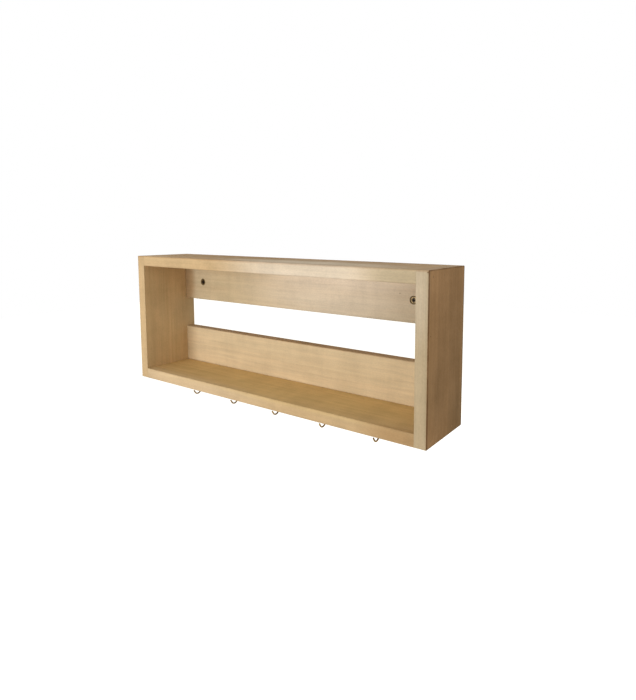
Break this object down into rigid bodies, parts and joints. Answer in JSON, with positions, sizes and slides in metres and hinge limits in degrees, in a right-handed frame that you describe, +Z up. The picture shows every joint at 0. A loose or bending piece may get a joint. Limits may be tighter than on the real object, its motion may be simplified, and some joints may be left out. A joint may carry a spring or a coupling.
{
  "type": "wall key holder shelf",
  "caption": "Open-fronted wooden box shelf for a wall, with open back rails and a row of brass cup hooks under it for keys.",
  "frame": {"origin": "on the wall plane, at mid-height of the upper back rail, halfway between the two wall screws", "axes": "+X along the shelf to the right as seen from the room, +Y into the wall, +Z up; the open front faces -Y"},
  "size_m": [0.53, 0.1316, 0.2265],
  "materials": {
    "pale_wood": "sanded softwood with a thin pale wash and a matt clear coat",
    "hook_brass": "bright brass, slightly dulled",
    "screw_black": "black phosphate steel screw",
    "nail_steel": "plain steel nail",
    "wood_filler": "matt wood filler, sanded flush"
  },
  "bodies": {
    "root": {"top_board": "pale_wood", "bottom_board": "pale_wood", "left_side_board": "pale_wood", "right_side_board": "pale_wood", "upper_back_rail": "pale_wood", "lower_back_rail": "pale_wood", "cup_hook_1": "hook_brass", "cup_hook_2": "hook_brass", "cup_hook_3": "hook_brass", "cup_hook_4": "hook_brass", "cup_hook_5": "hook_brass", "wall_screw_left": "screw_black", "wall_screw_right": "screw_black", "top_left_nails": "nail_steel", "bottom_left_nails": "nail_steel", "upper_rail_left_nails": "nail_steel", "lower_rail_left_nails": "nail_steel", "top_right_nails": "nail_steel", "bottom_right_nails": "nail_steel", "upper_rail_right_nails": "nail_steel", "lower_rail_right_nails": "nail_steel", "left_nail_fillers": "wood_filler", "right_nail_fillers": "wood_filler"}
  },
  "joints": []
}
